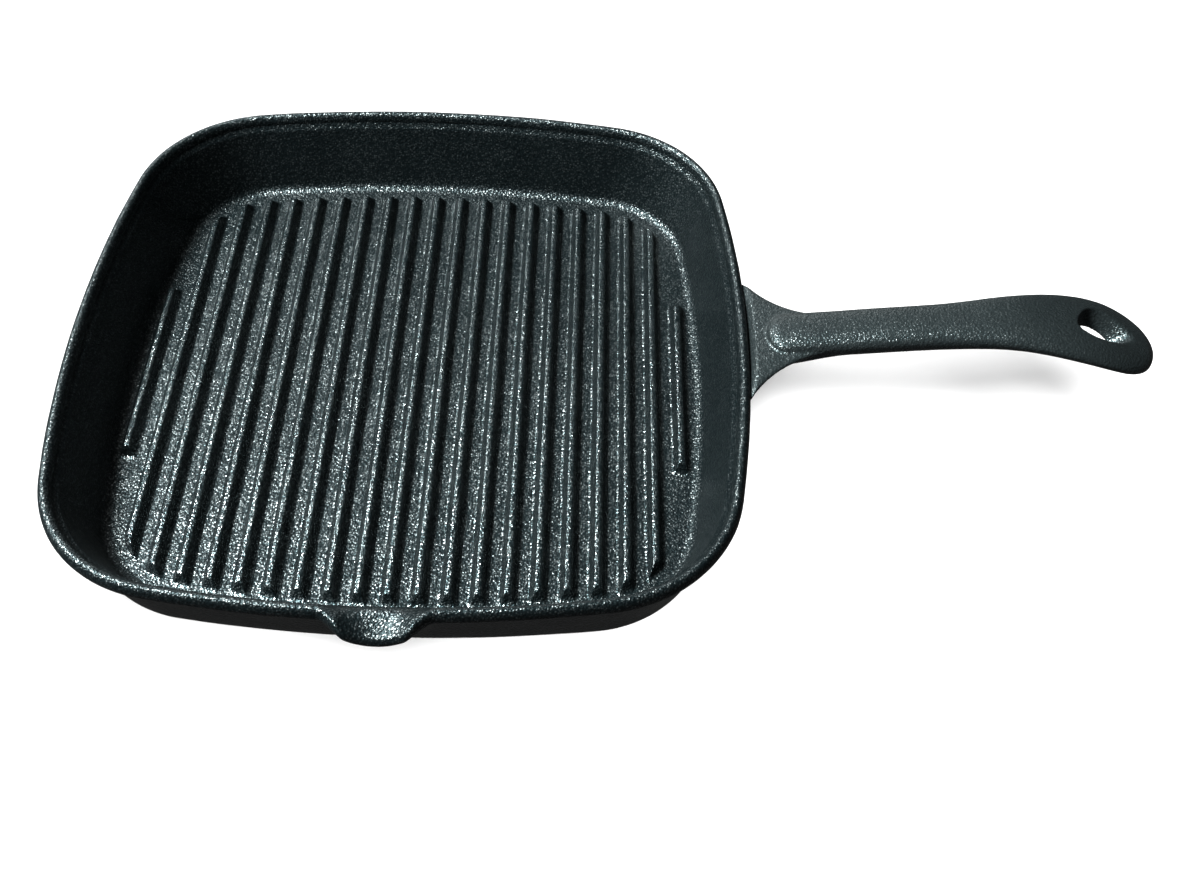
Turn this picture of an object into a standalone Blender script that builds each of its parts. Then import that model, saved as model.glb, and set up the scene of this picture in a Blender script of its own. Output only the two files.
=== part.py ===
"""A square cast iron grill pan: a ribbed floor, a low flared wall with one pouring spout, and an arched handle.

The real object is a single casting. Here its features are separate solids with a thin gap between them: the
pan body, every grill rib, the cradle that joins the handle to the wall, and the handle itself.

Frame: metres, +Z up, origin at the middle of the underside, +X towards the handle, the spout at -Y.
"""

import math

import bmesh
import bpy

GAP = 0.0003

# Plan outlines are bowed squares: four shallow side arcs joined by four tangent corner arcs.
RIM_HALF, RIM_BOW_RADIUS, RIM_CORNER = 0.135, 0.510, 0.056
BASE_HALF, BASE_BOW_RADIUS, BASE_CORNER = 0.1226, 0.560, 0.047
BASE_Z = 0.003
PAN_HEIGHT = 0.0385
BEAD_Z = 0.0309
BEAD_OUT = 0.0018
BEAD_THICKNESS = 0.0050
BEAD_RISE = 0.0040
WALL_FOOT_THICKNESS, WALL_TOP_THICKNESS = 0.0047, 0.0032
FLOOR_Z = 0.0049
FLOOR_FILLET = 0.005
# The underside's rounded edge, as heights and insets, and the heights of the wall's other sections.
BASE_EDGE = ((0.0, 0.0018), (0.0009, 0.0004))
OUTER_HEIGHTS = (BASE_Z, 0.010, 0.017, 0.024, 0.029)
INNER_HEIGHTS = (0.030, 0.024, 0.017)
BEAD_FOOT_OUT = 0.0003

# One spout in the middle of the front side.
SPOUT_HALF = 0.0205
SPOUT_INNER_HALF = 0.0142
SPOUT_FLAT_SHARE = 0.415
SPOUT_REACH = 0.0083
SPOUT_DIP = 0.0056
SPOUT_LOW_Z = 0.0125
SPOUT_DIP_LOW_Z = 0.0235

# Ribs run front to back. Their ends follow an outline of their own, inside the foot of the wall.
RIB_PITCH = 0.01104
RIB_ROW_SHIFT = -0.0012
FULL_RIBS = 19
RIB_HEIGHT = 0.0048
# Half a rib's profile from its foot to its crest, as half widths and shares of its height.
RIB_PROFILE = ((0.0032, 0.0), (0.0019, 0.62), (0.0012, 0.93), (0.0007, 1.0))
RIB_END_LENGTH = 0.0032
RIB_END_STATIONS = (0.1, 0.4, 0.7, 1.0)
RIB_TIP_WIDTH = 0.45
RIB_END_HALF, RIB_END_BOW_RADIUS, RIB_END_CORNER = 0.1117, 0.503, 0.032
SHORT_RIB_HALF_LENGTH = 0.047

# The handle's middle line rises straight, turns over an arc and droops straight to its tip.
HANDLE_NOSE_X = 0.1415
HANDLE_TIP_X = 0.2985
CREST_X, CREST_Z, CREST_RADIUS = 0.242, 0.0505, 0.110
RISE_ANGLE = math.radians(8.0)
DROOP_ANGLE = math.radians(20.8)
HANDLE_TOP, HANDLE_BOTTOM = 0.0050, 0.0065
NECK_HALF = 0.0105
PALM_HALF, PALM_X, PALM_START_X = 0.0182, 0.2745, 0.195
# From the neck to the palm the bar thins down to this share of its depth.
PALM_THINNING, THINNING_START_X, THINNING_END_X = 0.74, 0.200, 0.262
NOSE_LENGTH = 0.008
PALM_WIDENING, TIP_ROUNDNESS, NOSE_ROUNDNESS = 1.3, 2.4, 2.2
TOP_SQUARENESS, UNDER_SQUARENESS = 0.80, 0.92
# Narrower than this share of the palm or of the neck, an end grows thinner as well.
TIP_FULL_DEPTH, NOSE_FULL_DEPTH = 0.6, 0.9
# Sections crowd towards both ends, as if spaced round an arc by these angles in degrees.
NOSE_ANGLES = (17, 34, 54, 74)
TIP_ANGLES = (14, 29, 43, 54, 64, 73, 80, 86)

# A slanted hanging hole with a widened mouth on both faces.
HOLE_X, HOLE_HALF_LENGTH, HOLE_HALF_WIDTH = 0.2725, 0.0103, 0.0068
HOLE_FLARE = 0.0014
HOLE_EGG = 0.12
# The cutter's sections: share of the way from the hole's middle to a face, and share of the flare.
HOLE_SECTIONS = ((-1.5, 1.6), (-1.0, 0.9), (-0.7, 0.25), (-0.35, 0.0),
                 (0.35, 0.0), (0.7, 0.25), (1.0, 0.9), (1.5, 1.6))

# The cradle flares onto the wall with a concave fillet.
CRADLE_LENGTH = 0.019
CRADLE_FILLET = 0.034
CRADLE_UNDER_FILLET = 0.014
CRADLE_WALL = 0.0026
CRADLE_TOP_Z = 0.0362
CRADLE_ROOT_TOP_Z = 0.0306
CRADLE_STEP_LENGTH = 0.006
CRADLE_DISTANCES = (GAP, 0.0011, 0.0024, 0.0042, 0.0065, 0.0095, 0.0135, CRADLE_LENGTH)
CRADLE_SIDE_SQUARENESS, CRADLE_TOP_SQUARENESS = 0.85, 0.60

# The front side has closer points over the middle share of its arc, where the spout is.
CORNER_STEPS, SIDE_STEPS, SPOUT_STEPS, BESIDE_SPOUT_STEPS = 9, 8, 24, 3
SPOUT_SHARE = 0.32
BEAD_STEPS, FILLET_STEPS, HOLE_STEPS = 8, 4, 20
HANDLE_AROUND, HANDLE_ALONG, CRADLE_AROUND = 18, 15, 22

IRON = (0.026, 0.030, 0.031, 1.0)
IRON_WORN = (0.040, 0.045, 0.046, 1.0)


def clear_scene():
    for obj in list(bpy.data.objects):
        bpy.data.objects.remove(obj)


def make_collection(name):
    collection = bpy.data.collections.new(name)
    bpy.context.scene.collection.children.link(collection)
    return collection


def make_material(name, colour, roughness):
    material = bpy.data.materials.new(name)
    material.use_nodes = True
    shader = material.node_tree.nodes["Principled BSDF"]
    shader.inputs["Base Color"].default_value = colour
    shader.inputs["Roughness"].default_value = roughness
    shader.inputs["Metallic"].default_value = 0.6
    return material


def lerp(a, b, t):
    return a + (b - a) * t


def ease(t):
    t = min(1.0, max(0.0, t))
    return t * t * (3.0 - 2.0 * t)


def corner_centre(half, bow_radius, corner):
    """Distance, along X and along Y, of a corner arc's centre from the middle."""
    m = half - bow_radius
    return (m + math.sqrt(2.0 * (bow_radius - corner) ** 2 - m * m)) / 2.0


def bowed_square(half, bow_radius, corner):
    """Points of the outline, counter-clockwise, starting at the front side's left end."""
    m = half - bow_radius
    k = corner_centre(half, bow_radius, corner)
    spread = math.atan2(k, k - m)
    even = [lerp(-1.0, 1.0, i / SIDE_STEPS) for i in range(SIDE_STEPS)]
    beside = [lerp(-1.0, -SPOUT_SHARE, i / BESIDE_SPOUT_STEPS) for i in range(BESIDE_SPOUT_STEPS)]
    dense = [lerp(-SPOUT_SHARE, SPOUT_SHARE, i / SPOUT_STEPS) for i in range(SPOUT_STEPS + 1)]
    front = beside + dense + [-t for t in reversed(beside[1:])]
    points = []
    for quarter in range(4):
        facing = math.radians(-90 + 90 * quarter)
        for t in front if quarter == 0 else even:
            angle = facing + t * spread
            points.append((m * math.cos(facing) + bow_radius * math.cos(angle),
                           m * math.sin(facing) + bow_radius * math.sin(angle)))
        diagonal = facing + math.radians(45)
        for i in range(CORNER_STEPS):
            angle = lerp(facing + spread, facing + math.radians(90) - spread, i / CORNER_STEPS)
            points.append((math.sqrt(2) * k * math.cos(diagonal) + corner * math.cos(angle),
                           math.sqrt(2) * k * math.sin(diagonal) + corner * math.sin(angle)))
    return points


def outline_y(x, half, bow_radius, corner):
    """Half-depth of a bowed square at x."""
    m = half - bow_radius
    k = corner_centre(half, bow_radius, corner)
    x = abs(x)
    if x < bow_radius * k / (k - m) * math.cos(math.atan2(k, k - m)):
        return m + math.sqrt(bow_radius ** 2 - x * x)
    return k + math.sqrt(max(0.0, corner ** 2 - (x - k) ** 2))


def wall_sizes(z, inset):
    """Half side, bow radius and corner radius of the wall's outer face at height z, set in by inset."""
    t = (z - BASE_Z) / (PAN_HEIGHT - BASE_Z)
    return (lerp(BASE_HALF, RIM_HALF - BEAD_OUT, t) - inset,
            lerp(BASE_BOW_RADIUS, RIM_BOW_RADIUS, t) - inset,
            lerp(BASE_CORNER, RIM_CORNER, t) - inset)


def shift_for_spout(x, y, z, half_width):
    """Moves a front point out and down where the spout is."""
    if y > 0 or abs(x) > half_width:
        return x, y, z
    share = 1.0 - ease((abs(x) / half_width - SPOUT_FLAT_SHARE) / (1.0 - SPOUT_FLAT_SHARE))
    reach = SPOUT_REACH * share * ease((z - SPOUT_LOW_Z) / (PAN_HEIGHT - SPOUT_LOW_Z))
    hollow = math.cos(0.5 * math.pi * x / half_width) ** 2
    dip = SPOUT_DIP * hollow * ease((z - SPOUT_DIP_LOW_Z) / (PAN_HEIGHT - SPOUT_DIP_LOW_Z))
    return x, y - reach, z - dip


def wall_ring(z, inset, half_width):
    return [shift_for_spout(x, y, z, half_width) for x, y in bowed_square(*wall_sizes(z, inset))]


def wall_thickness(z):
    """Measured level, from the outer face to the inner face."""
    return lerp(WALL_FOOT_THICKNESS, WALL_TOP_THICKNESS, (z - FLOOR_Z) / (PAN_HEIGHT - FLOOR_Z))


def ruled_cap(bm, row):
    """Closes a loop with level strips between points of the same y, so that the cap keeps the wall's bow."""
    count = len(row)
    for i in range(count // 2):
        strip = (row[i], row[i + 1], row[count - i - 1], row[(count - i) % count])
        bm.faces.new(list(dict.fromkeys(strip)))


def loft(name, rings, collection, material, ruled=False):
    """A closed solid through rings of equal count, with one face over each end or, if ruled, strips."""
    bm = bmesh.new()
    rows = [[bm.verts.new(point) for point in ring] for ring in rings]
    count = len(rings[0])
    for lower, upper in zip(rows, rows[1:]):
        for i in range(count):
            j = (i + 1) % count
            bm.faces.new((lower[i], lower[j], upper[j], upper[i]))
    for row in (rows[0], rows[-1]):
        if ruled:
            ruled_cap(bm, row)
        else:
            bm.faces.new(row)
    bmesh.ops.recalc_face_normals(bm, faces=bm.faces)
    mesh = bpy.data.meshes.new(name)
    bm.to_mesh(mesh)
    bm.free()
    mesh.shade_smooth()
    mesh.set_sharp_from_angle(angle=math.radians(40))
    obj = bpy.data.objects.new(name, mesh)
    collection.objects.link(obj)
    if material:
        mesh.materials.append(material)
    else:
        obj.hide_render = True
        obj.display_type = "WIRE"
    return obj


def cut(obj, cutter):
    modifier = obj.modifiers.new("cut", "BOOLEAN")
    modifier.operation = "DIFFERENCE"
    modifier.solver = "EXACT"
    modifier.object = cutter


def bead_rings():
    """The rolled rim: half an ellipse over the top of the wall, from its outer foot to its inner foot."""
    half_thick = BEAD_THICKNESS / 2
    middle_z = PAN_HEIGHT - BEAD_RISE
    rings = []
    for i in range(BEAD_STEPS + 1):
        angle = math.pi * i / BEAD_STEPS
        inset = half_thick * (1.0 - math.cos(angle)) - BEAD_OUT
        z = middle_z + BEAD_RISE * math.sin(angle)
        half_width = lerp(SPOUT_HALF, SPOUT_INNER_HALF, i / BEAD_STEPS)
        points = bowed_square(*wall_sizes(PAN_HEIGHT, inset))
        rings.append([shift_for_spout(x, y, z, half_width) for x, y in points])
    return rings


def fillet_rings():
    """The concave fillet between the wall's inner face and the floor."""
    top = wall_sizes(PAN_HEIGHT, WALL_TOP_THICKNESS)[0]
    foot = wall_sizes(FLOOR_Z, WALL_FOOT_THICKNESS)[0]
    lean = math.atan2(top - foot, PAN_HEIGHT - FLOOR_Z)
    centre_z = FLOOR_Z + FLOOR_FILLET
    centre_half = foot + FLOOR_FILLET * (math.tan(lean) - 1.0 / math.cos(lean))
    rings = []
    for i in range(FILLET_STEPS + 1):
        below = lerp(lean, math.radians(90), i / FILLET_STEPS)
        z = centre_z - FLOOR_FILLET * math.sin(below)
        half = centre_half + FLOOR_FILLET * math.cos(below)
        rings.append(wall_ring(z, wall_sizes(z, 0.0)[0] - half, SPOUT_INNER_HALF))
    return rings


def make_pan_body(collection, material):
    rings = [wall_ring(z, inset, SPOUT_HALF) for z, inset in BASE_EDGE]
    rings += [wall_ring(z, 0.0, SPOUT_HALF) for z in OUTER_HEIGHTS]
    rings.append(wall_ring(BEAD_Z, -BEAD_FOOT_OUT, SPOUT_HALF))
    rings += bead_rings()
    rings += [wall_ring(z, wall_thickness(z), SPOUT_INNER_HALF) for z in INNER_HEIGHTS]
    rings += fillet_rings()
    return loft("pan_body", rings, collection, material)


def rib_reach(x, curved_ends):
    """Half the length of a rib at x."""
    if curved_ends:
        return outline_y(x, RIB_END_HALF, RIB_END_BOW_RADIUS, RIB_END_CORNER)
    return SHORT_RIB_HALF_LENGTH


def rib_section(end_share, centre_x, curved_ends, way):
    """One loop across a rib near an end. end_share is near 0 at the tip and 1 at full height."""
    rise = math.sin(end_share * math.pi / 2)
    setback = RIB_END_LENGTH * (1.0 - math.cos(end_share * math.pi / 2))
    narrow = lerp(RIB_TIP_WIDTH, 1.0, rise)
    height = RIB_HEIGHT * rise - GAP
    half_loop = [(half * narrow, share * height) for half, share in RIB_PROFILE]
    loop = half_loop + [(-half, up) for half, up in reversed(half_loop)]
    points = []
    for across, up in loop:
        x = centre_x + across
        points.append((x, way * (rib_reach(x, curved_ends) - setback), FLOOR_Z + GAP + up))
    return points


def make_rib(name, centre_x, curved_ends, collection, material):
    front = [rib_section(share, centre_x, curved_ends, -1) for share in RIB_END_STATIONS]
    back = [rib_section(share, centre_x, curved_ends, 1) for share in reversed(RIB_END_STATIONS)]
    return loft(name, front + back, collection, material)


def make_ribs(collection, material):
    """Numbered from the side opposite the handle. The first and the last are short."""
    total = FULL_RIBS + 2
    for i in range(total):
        centre_x = RIB_ROW_SHIFT + RIB_PITCH * (i - (total - 1) / 2)
        curved_ends = 0 < i < total - 1
        make_rib(f"grill_rib_{i + 1:02d}", centre_x, curved_ends, collection, material)


def handle_line(x):
    """Height of the handle's middle line."""
    rise_x = CREST_X - CREST_RADIUS * math.sin(RISE_ANGLE)
    droop_x = CREST_X + CREST_RADIUS * math.sin(DROOP_ANGLE)
    on_arc = min(droop_x, max(rise_x, x))
    z = CREST_Z - CREST_RADIUS + math.sqrt(CREST_RADIUS ** 2 - (on_arc - CREST_X) ** 2)
    if x < rise_x:
        z -= (rise_x - x) * math.tan(RISE_ANGLE)
    if x > droop_x:
        z -= (x - droop_x) * math.tan(DROOP_ANGLE)
    return z


def handle_half_width(x):
    widening = ease(max(0.0, (x - PALM_START_X) / (PALM_X - PALM_START_X)) ** PALM_WIDENING)
    width = lerp(NECK_HALF, PALM_HALF, widening)
    if x > PALM_X:
        tip = (x - PALM_X) / (HANDLE_TIP_X - PALM_X)
        width = PALM_HALF * math.sqrt(max(0.0, 1.0 - tip ** TIP_ROUNDNESS))
    if x < HANDLE_NOSE_X + NOSE_LENGTH:
        nose = (HANDLE_NOSE_X + NOSE_LENGTH - x) / NOSE_LENGTH
        width *= math.sqrt(max(0.0, 1.0 - nose ** NOSE_ROUNDNESS))
    return width


def handle_depth_share(x):
    return lerp(1.0, PALM_THINNING, ease((x - THINNING_START_X) / (THINNING_END_X - THINNING_START_X)))


def rounded(share, squareness):
    """A cosine or sine pulled towards a square section. Lower squareness values are squarer."""
    return math.copysign(abs(share) ** squareness, share)


def handle_ring(x, grow):
    """An oval section, flatter on top than below. It thins out towards the tip and the nose."""
    half = handle_half_width(x)
    full_depth_half = TIP_FULL_DEPTH * PALM_HALF if x > PALM_X else NOSE_FULL_DEPTH * NECK_HALF
    depth = handle_depth_share(x) * math.sqrt(min(1.0, half / full_depth_half))
    points = []
    for i in range(HANDLE_AROUND):
        angle = 2 * math.pi * i / HANDLE_AROUND
        up = math.sin(angle)
        squareness = TOP_SQUARENESS if up > 0 else UNDER_SQUARENESS
        reach = (HANDLE_TOP if up > 0 else HANDLE_BOTTOM) * depth + grow
        points.append((x, (half + grow) * rounded(math.cos(angle), squareness),
                       handle_line(x) + reach * rounded(up, squareness)))
    return points


def handle_rings(grow):
    """Sections close together at both round ends."""
    nose_end = HANDLE_NOSE_X + NOSE_LENGTH
    nose = [nose_end - NOSE_LENGTH * math.cos(math.radians(a)) for a in NOSE_ANGLES]
    even = [lerp(nose_end, PALM_X, i / HANDLE_ALONG) for i in range(HANDLE_ALONG + 1)]
    tip = [PALM_X + (HANDLE_TIP_X - PALM_X) * math.sin(math.radians(a)) for a in TIP_ANGLES]
    places = nose + even + tip
    if grow:
        places = [HANDLE_NOSE_X - grow] + places + [HANDLE_TIP_X + grow]
    return [handle_ring(x, grow) for x in places]


def hole_cutter(collection):
    """An egg-shaped cutter square to the drooping end, wider at both faces of the handle."""
    slope = -DROOP_ANGLE
    middle_z = handle_line(HOLE_X) + handle_depth_share(HOLE_X) * (HANDLE_TOP - HANDLE_BOTTOM) / 2
    reach = handle_depth_share(HOLE_X) * (HANDLE_TOP + HANDLE_BOTTOM) / 2
    rings = []
    for share, flare in HOLE_SECTIONS:
        ring = []
        up = reach * share
        for i in range(HOLE_STEPS):
            angle = 2 * math.pi * i / HOLE_STEPS
            half_width = HOLE_HALF_WIDTH * (1.0 + HOLE_EGG * math.cos(angle))
            along = (HOLE_HALF_LENGTH + HOLE_FLARE * flare) * math.cos(angle)
            across = (half_width + HOLE_FLARE * flare) * math.sin(angle)
            ring.append((HOLE_X + along * math.cos(slope) - up * math.sin(slope), across,
                         middle_z + along * math.sin(slope) + up * math.cos(slope)))
        rings.append(ring)
    return loft("hole_cutter", rings, collection, None)


def make_handle(collection, cutters, material):
    handle = loft("handle", handle_rings(0.0), collection, material)
    cut(handle, hole_cutter(cutters))
    return handle


def fillet_flare(distance, radius):
    """How far a concave fillet of this radius still stands out at this distance from the wall."""
    if distance >= radius:
        return 0.0
    return radius - math.sqrt(radius ** 2 - (radius - distance) ** 2)


def wall_face_x(y, z):
    half, bow_radius, _ = wall_sizes(z, 0.0)
    return half - bow_radius + math.sqrt(bow_radius ** 2 - y * y)


def cradle_ring(distance):
    """A section of the cradle at one distance from the wall, bowed and leaning like the wall."""
    axis_x = RIM_HALF + distance
    half = NECK_HALF + CRADLE_WALL + fillet_flare(distance, CRADLE_FILLET)
    top = lerp(CRADLE_ROOT_TOP_Z, CRADLE_TOP_Z, ease(distance / CRADLE_STEP_LENGTH))
    under = max(CRADLE_WALL, fillet_flare(distance, CRADLE_UNDER_FILLET))
    bottom = handle_line(axis_x) - HANDLE_BOTTOM - under
    middle, reach = (top + bottom) / 2, (top - bottom) / 2
    points = []
    for i in range(CRADLE_AROUND):
        angle = 2 * math.pi * i / CRADLE_AROUND
        y = half * rounded(math.cos(angle), CRADLE_SIDE_SQUARENESS)
        z = middle + reach * rounded(math.sin(angle), CRADLE_TOP_SQUARENESS)
        points.append((wall_face_x(y, z) + distance, y, z))
    return points


def make_cradle(collection, cutters, material):
    rings = [cradle_ring(distance) for distance in CRADLE_DISTANCES]
    cradle = loft("handle_cradle", rings, collection, material, ruled=True)
    cut(cradle, loft("handle_clearance", handle_rings(GAP), cutters, None))
    return cradle


def main():
    clear_scene()
    parts = make_collection("grill_pan")
    cutters = make_collection("cutters")
    body_iron = make_material("body_iron", IRON, 0.42)
    rib_iron = make_material("rib_iron", IRON_WORN, 0.40)
    handle_iron = make_material("handle_iron", IRON_WORN, 0.46)
    make_pan_body(parts, body_iron)
    make_ribs(parts, rib_iron)
    make_cradle(parts, cutters, handle_iron)
    make_handle(parts, cutters, handle_iron)


main()
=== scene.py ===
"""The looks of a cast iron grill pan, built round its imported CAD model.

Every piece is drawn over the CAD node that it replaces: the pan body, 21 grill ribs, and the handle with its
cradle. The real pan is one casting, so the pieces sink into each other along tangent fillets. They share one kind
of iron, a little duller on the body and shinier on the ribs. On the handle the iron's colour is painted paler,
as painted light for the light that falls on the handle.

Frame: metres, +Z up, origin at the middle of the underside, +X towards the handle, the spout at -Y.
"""

import math

import bmesh
import bpy
from mathutils import Matrix, Vector, noise


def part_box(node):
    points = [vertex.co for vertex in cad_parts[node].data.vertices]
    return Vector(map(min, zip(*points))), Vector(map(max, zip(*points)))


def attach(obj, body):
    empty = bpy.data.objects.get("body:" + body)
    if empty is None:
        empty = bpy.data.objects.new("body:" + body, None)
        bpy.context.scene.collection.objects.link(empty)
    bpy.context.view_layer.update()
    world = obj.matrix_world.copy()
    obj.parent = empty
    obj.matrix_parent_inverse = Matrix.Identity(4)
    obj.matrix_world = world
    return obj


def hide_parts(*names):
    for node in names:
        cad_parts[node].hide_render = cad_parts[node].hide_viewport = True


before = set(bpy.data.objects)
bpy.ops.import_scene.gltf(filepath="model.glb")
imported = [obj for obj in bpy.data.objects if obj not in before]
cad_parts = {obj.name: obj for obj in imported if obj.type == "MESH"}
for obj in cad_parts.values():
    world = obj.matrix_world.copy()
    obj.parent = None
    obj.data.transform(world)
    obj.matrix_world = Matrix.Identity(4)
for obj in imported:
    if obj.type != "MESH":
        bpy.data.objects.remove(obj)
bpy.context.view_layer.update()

PAN_LOW, PAN_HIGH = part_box("pan_body")
HANDLE_LOW, HANDLE_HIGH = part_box("handle")
RIB_NODES = sorted(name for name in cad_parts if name.startswith("grill_rib"))

# Plan outlines are bowed squares: a half side, the radius of the four side arcs and that of the corner arcs.
RIM_HALF = PAN_HIGH.y
PAN_HEIGHT = PAN_HIGH.z
RIM_BOW_RADIUS, RIM_CORNER = 0.510, 0.056
BASE_HALF, BASE_BOW_RADIUS, BASE_CORNER = 0.1226, 0.560, 0.047
BASE_Z = 0.003
BASE_EDGE_INSET, BASE_EDGE_HEIGHT = 0.0018, 0.0026
BASE_EDGE_TURN = math.radians(75)
FLOOR_Z = 0.0049
FLOOR_FILLET = 0.0048

# The rolled rim: it overhangs the wall's outer face and runs flush into the inner one.
BEAD_OUT = 0.0018
BEAD_THICKNESS = 0.0050
BEAD_RISE = 0.0040
BEAD_FOOT_Z = PAN_HEIGHT - 0.0072
WALL_FOOT_THICKNESS, WALL_TOP_THICKNESS = 0.0047, 0.0032

# The spout pushes the wall out and turns the rim's inner half into a channel, which slopes down from its inner
# edge to the lip. The lip stops a little short of the CAD's.
SPOUT_LIP_INSET = 0.0010
SPOUT_REACH = -PAN_LOW.y - RIM_HALF - SPOUT_LIP_INSET
SPOUT_FLAT_HALF, SPOUT_HALF = 0.0098, 0.0205
SPOUT_LOW_Z = 0.0125
SPOUT_DIP, SPOUT_INNER_DIP = 0.0060, 0.0028
# The trough's section: flat along its bottom and rounded into the rim at its sides.
TROUGH_HALF = 0.0132
TROUGH_FLATNESS, TROUGH_SHOULDER = 2.2, 1.2
TROUGH_LOW_Z = 0.0220
# The channel's inner edge rolls over onto the wall.
CHANNEL_ROLL, CHANNEL_ROLL_POWER = 0.0010, 8

# Ribs: a rounded crest, steep flanks and a fillet at the foot, that runs out a little under the floor.
RIB_HEIGHT = 0.0048
RIB_CREST_HALF = 0.0001
RIB_CREST_RADIUS = 0.0014
RIB_FOOT_RADIUS = 0.0019
RIB_FLANK = math.radians(68)
RIB_END_STRETCH = 1.35
RIB_SINK = 0.00006
RIB_END_HALF, RIB_END_BOW_RADIUS, RIB_END_CORNER = 0.1117, 0.503, 0.032
SHORT_RIB_REACH = 0.060
RIB_END_MARGIN = 0.0006
RIB_END_BLEND = 0.0010
RIB_SKIRT_DEPTH = 0.0008
# A rib strays sideways and swells a little along its length. Each noise has a scale across, one along and a layer.
RIB_WANDER, RIB_WANDER_NOISE = 0.00010, (90.0, 60.0, 3.0)
RIB_SWELL, RIB_SWELL_NOISE = 0.02, (70.0, 45.0, 9.0)

# The handle's middle line rises straight, turns over an arc and droops straight to its tip.
HANDLE_NOSE_X, HANDLE_TIP_X = HANDLE_LOW.x, HANDLE_HIGH.x
CREST_X, CREST_Z, CREST_RADIUS = 0.242, 0.0505, 0.110
RISE_ANGLE, DROOP_ANGLE = math.radians(8.0), math.radians(20.8)
HANDLE_TOP, HANDLE_BOTTOM = 0.0050, 0.0065
NECK_HALF = 0.0105
PALM_HALF, PALM_X, PALM_START_X = HANDLE_HIGH.y, 0.2745, 0.195
PALM_THINNING, THINNING_START_X, THINNING_END_X = 0.74, 0.200, 0.262
NOSE_LENGTH = 0.008
# Powers that shape the widening palm, the round tip and the round nose.
PALM_POWER, TIP_POWER, NOSE_POWER = 1.3, 2.4, 2.2
# The handle keeps its full depth until its half width falls under these shares of the palm's and the neck's.
TIP_DEPTH_SHARE, NOSE_DEPTH_SHARE = 0.6, 0.9
TOP_SQUARENESS, UNDER_SQUARENESS = 0.80, 0.92
# Where the rings round the nose start and those round the tip end, on a quarter turn. A fan closes the rest.
NOSE_START, TIP_END = math.radians(6), math.radians(87)

HOLE_X, HOLE_HALF_LENGTH, HOLE_HALF_WIDTH = 0.2716, 0.0092, 0.0056
HOLE_EGG = 0.12
# The mouth flares along an arc, this many flares deep, and the cutter runs on straight past the face.
HOLE_FLARE, HOLE_MOUTH_SHARE, HOLE_OUTER_SLOPE = 0.0011, 1.2, 1.6
HOLE_OVERSHOOT = 1.35
# From the underside to the top, the hole opens this much more at its tip side and at its back (+Y) side.
HOLE_TIP_LEAN, HOLE_BACK_LEAN = 0.0072, 0.0060

# The cradle flares onto the wall with concave fillets.
CRADLE_LENGTH = 0.042
CRADLE_FILLET, CRADLE_UNDER_FILLET = 0.032, 0.007
CRADLE_WALL = 0.0026
CRADLE_SINK = 0.0015
CRADLE_ROOT_TOP_Z, CRADLE_RIDGE_Z = 0.0290, 0.0384
CRADLE_RIDGE_DISTANCE = 0.0042
CRADLE_END_INSET = 0.0004
CRADLE_SQUARENESS = 0.62
# The groove between the rim and the ridge is deepest in the middle and shallower beyond GROOVE_HALF.
GROOVE_HALF, GROOVE_END_SHARE, GROOVE_POWER = 0.013, 0.45, 1.5
# The section is widest at CRADLE_WIDEST of its height. At its bottom it narrows to CRADLE_TAPER of its width.
CRADLE_TAPER, CRADLE_WIDEST = 0.30, 0.78
# Sections stand close together at the wall, where the groove is, and further apart along the bar.
CRADLE_FIRST_STEP, CRADLE_STEP_GROWTH, CRADLE_NEAR_STEPS, CRADLE_FAR_STEPS = 0.0002, 1.32, 14, 24

COLLAR_WIDTH, COLLAR_LENGTH, COLLAR_DROP, COLLAR_DEPTH = 0.0030, 0.034, 0.0034, 0.007
COLLAR_END_INSET = 0.0010
COLLAR_SPACING_POWER, COLLAR_NOSE_POWER, COLLAR_NOSE_RISE = 1.6, 2.1, 4
COLLAR_SIDE_SQUARENESS, COLLAR_TOP_SQUARENESS = 0.8, 0.7

# Step counts of the fine surface.
BASE_EDGE_STEPS, OUTER_WALL_STEPS, BEAD_FOOT_STEPS, BEAD_STEPS = 5, 16, 8, 26
INNER_WALL_STEPS, FLOOR_FILLET_STEPS, FLOOR_STEPS, UNDERSIDE_STEPS = 20, 10, 24, 9
RIB_CURVE_STEPS, RIB_FLANK_STEPS, SHORT_RIB_STEPS, LONG_RIB_STEPS = 6, 4, 90, 190
HANDLE_SIDES, NOSE_STEPS, BAR_STEPS, TIP_STEPS = 56, 16, 100, 30
COLLAR_STEPS, HOLE_SIDES, HOLE_STEPS, CRADLE_SIDES = 44, 64, 32, 96

# The handle's parts are merged in a grid of this size, then smoothed.
VOXEL = 0.00045
SMOOTHING_FACTOR, SMOOTHING_STEPS = 0.5, 8

# How uneven the casting is: (size, height) pairs. The underside of the body stays flat up to UNEVEN_ABOVE_Z.
BODY_UNEVENNESS = ((0.030, 0.00016), (0.009, 0.00006))
HANDLE_UNEVENNESS = ((0.022, 0.00014), (0.007, 0.00005))
UNEVEN_ABOVE_Z = 0.0006


# ---------------------------------------------------------------- small helpers

def lerp(a, b, t):
    return a + (b - a) * t


def ease(t):
    t = min(1.0, max(0.0, t))
    return t * t * (3.0 - 2.0 * t)


def steps(first, last, count):
    """count + 1 even values from first to last."""
    return [lerp(first, last, i / count) for i in range(count + 1)]


def rounded(share, squareness):
    """A cosine or sine pulled towards a square section. Lower squareness values are squarer."""
    return math.copysign(abs(share) ** squareness, share)


def mesh_object(name, bm, material=None):
    bmesh.ops.recalc_face_normals(bm, faces=bm.faces)
    mesh = bpy.data.meshes.new(name)
    bm.to_mesh(mesh)
    bm.free()
    mesh.shade_smooth()
    obj = bpy.data.objects.new(name, mesh)
    bpy.context.scene.collection.objects.link(obj)
    if material:
        mesh.materials.append(material)
    return obj


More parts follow.
